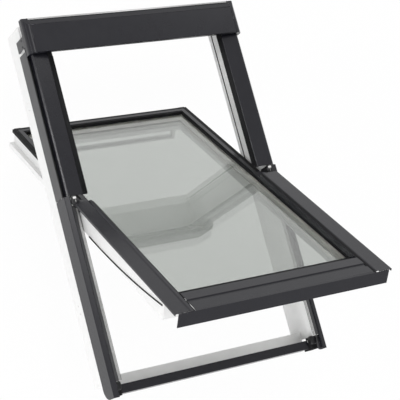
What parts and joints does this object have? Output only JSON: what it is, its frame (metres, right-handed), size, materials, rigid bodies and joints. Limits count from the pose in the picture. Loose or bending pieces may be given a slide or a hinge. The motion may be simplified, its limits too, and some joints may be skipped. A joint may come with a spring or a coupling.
{
  "type": "roof window",
  "caption": "Centre-pivot roof skylight with a white frame and sash, folded dark metal covers outside, double glazing and a sash that swings on side pivots.",
  "frame": {"origin": "centre of the frame on its back face, the face that meets the room lining", "axes": "+X to the right seen from outside, +Y up the roof slope, +Z out of the roof"},
  "size_m": [0.7886, 1.237, 0.9488],
  "materials": {
    "white_paint": "white lacquered timber",
    "cladding": "matte anthracite coated aluminium sheet",
    "grey_profile": "satin grey coated profile",
    "rubber": "matte black seal",
    "glass": "clear coated float glass",
    "spacer": "pale warm-edge spacer",
    "steel": "zinc plated",
    "black_metal": "black passivated steel",
    "bar": "satin anodised",
    "white_plastic": "white moulded"
  },
  "bodies": {
    "frame": {"cover_gasket_left": "rubber", "cover_gasket_right": "rubber", "frame_head": "white_paint", "frame_jamb_left": "white_paint", "frame_jamb_right": "white_paint", "frame_sill": "white_paint", "head_cover": "grey_profile", "head_gasket": "rubber", "hood_bracket_left": "grey_profile", "hood_bracket_right": "grey_profile", "hood_end_cap_left": "cladding", "hood_end_cap_right": "cladding", "hood_support_left": "steel", "hood_support_right": "steel", "lower_jamb_seal_left": "grey_profile", "lower_jamb_seal_right": "grey_profile", "lower_side_cover_left": "cladding", "lower_side_cover_right": "cladding", "pivot_bracket_left": "black_metal", "pivot_bracket_right": "black_metal", "sill_corner_left": "rubber", "sill_corner_right": "rubber", "sill_cover": "cladding", "striker_plate": "steel", "top_hood": "cladding", "upper_side_cover_left": "cladding", "upper_side_cover_right": "cladding", "upper_side_profile_left": "grey_profile", "upper_side_profile_right": "grey_profile"},
    "sash": {"bar_bracket_left": "white_plastic", "bar_bracket_right": "white_plastic", "bottom_carrier": "steel", "bottom_sash_cover": "cladding", "glass_edge_seal": "rubber", "glazing_gasket": "rubber", "hinge_plate_left": "black_metal", "hinge_plate_right": "black_metal", "inner_pane": "glass", "lower_cover_clips_left": "steel", "lower_cover_clips_right": "steel", "lower_sash_cover_left": "cladding", "lower_sash_cover_right": "cladding", "outer_pane": "glass", "sash_bottom_rail": "white_paint", "sash_stile_left": "white_paint", "sash_stile_right": "white_paint", "sash_top_rail": "white_paint", "side_seal_left": "rubber", "side_seal_right": "rubber", "spacer_frame": "spacer", "top_sash_cover": "cladding", "upper_sash_cover_left": "cladding", "upper_sash_cover_right": "cladding", "upper_sash_seal_left": "rubber", "upper_sash_seal_right": "rubber"},
    "control_bar": {"control_bar": "bar"},
    "vent_flap": {"vent_flap": "white_plastic"},
    "latch_bolt": {"latch_bolt": "steel"}
  },
  "joints": [
    {"name": "sash_pivot", "type": "hinge", "parent": "frame", "child": "sash", "pos_m": [0, -0.015, 0.138], "axis": [-1, 0, 0], "range_deg": [-45.9, 80]},
    {"name": "bar_turn", "type": "hinge", "parent": "sash", "child": "control_bar", "pos_m": [0, 0.26074, -0.30211], "axis": [1, 0, 0], "range_deg": [0, 40]},
    {"name": "flap_turn", "type": "hinge", "parent": "sash", "child": "vent_flap", "pos_m": [0, 0.30483, -0.30675], "axis": [1, 0, 0], "range_deg": [0, 30]},
    {"name": "bolt_slide", "type": "slide", "parent": "sash", "child": "latch_bolt", "axis": [0, -0.6955, 0.7185], "range_m": [0, 0.006]}
  ],
  "couplings": [
    {"joint": "flap_turn", "follows": "bar_turn", "ratio": 0.75},
    {"joint": "bolt_slide", "follows": "bar_turn", "m_per_rad": 0.008594}
  ]
}
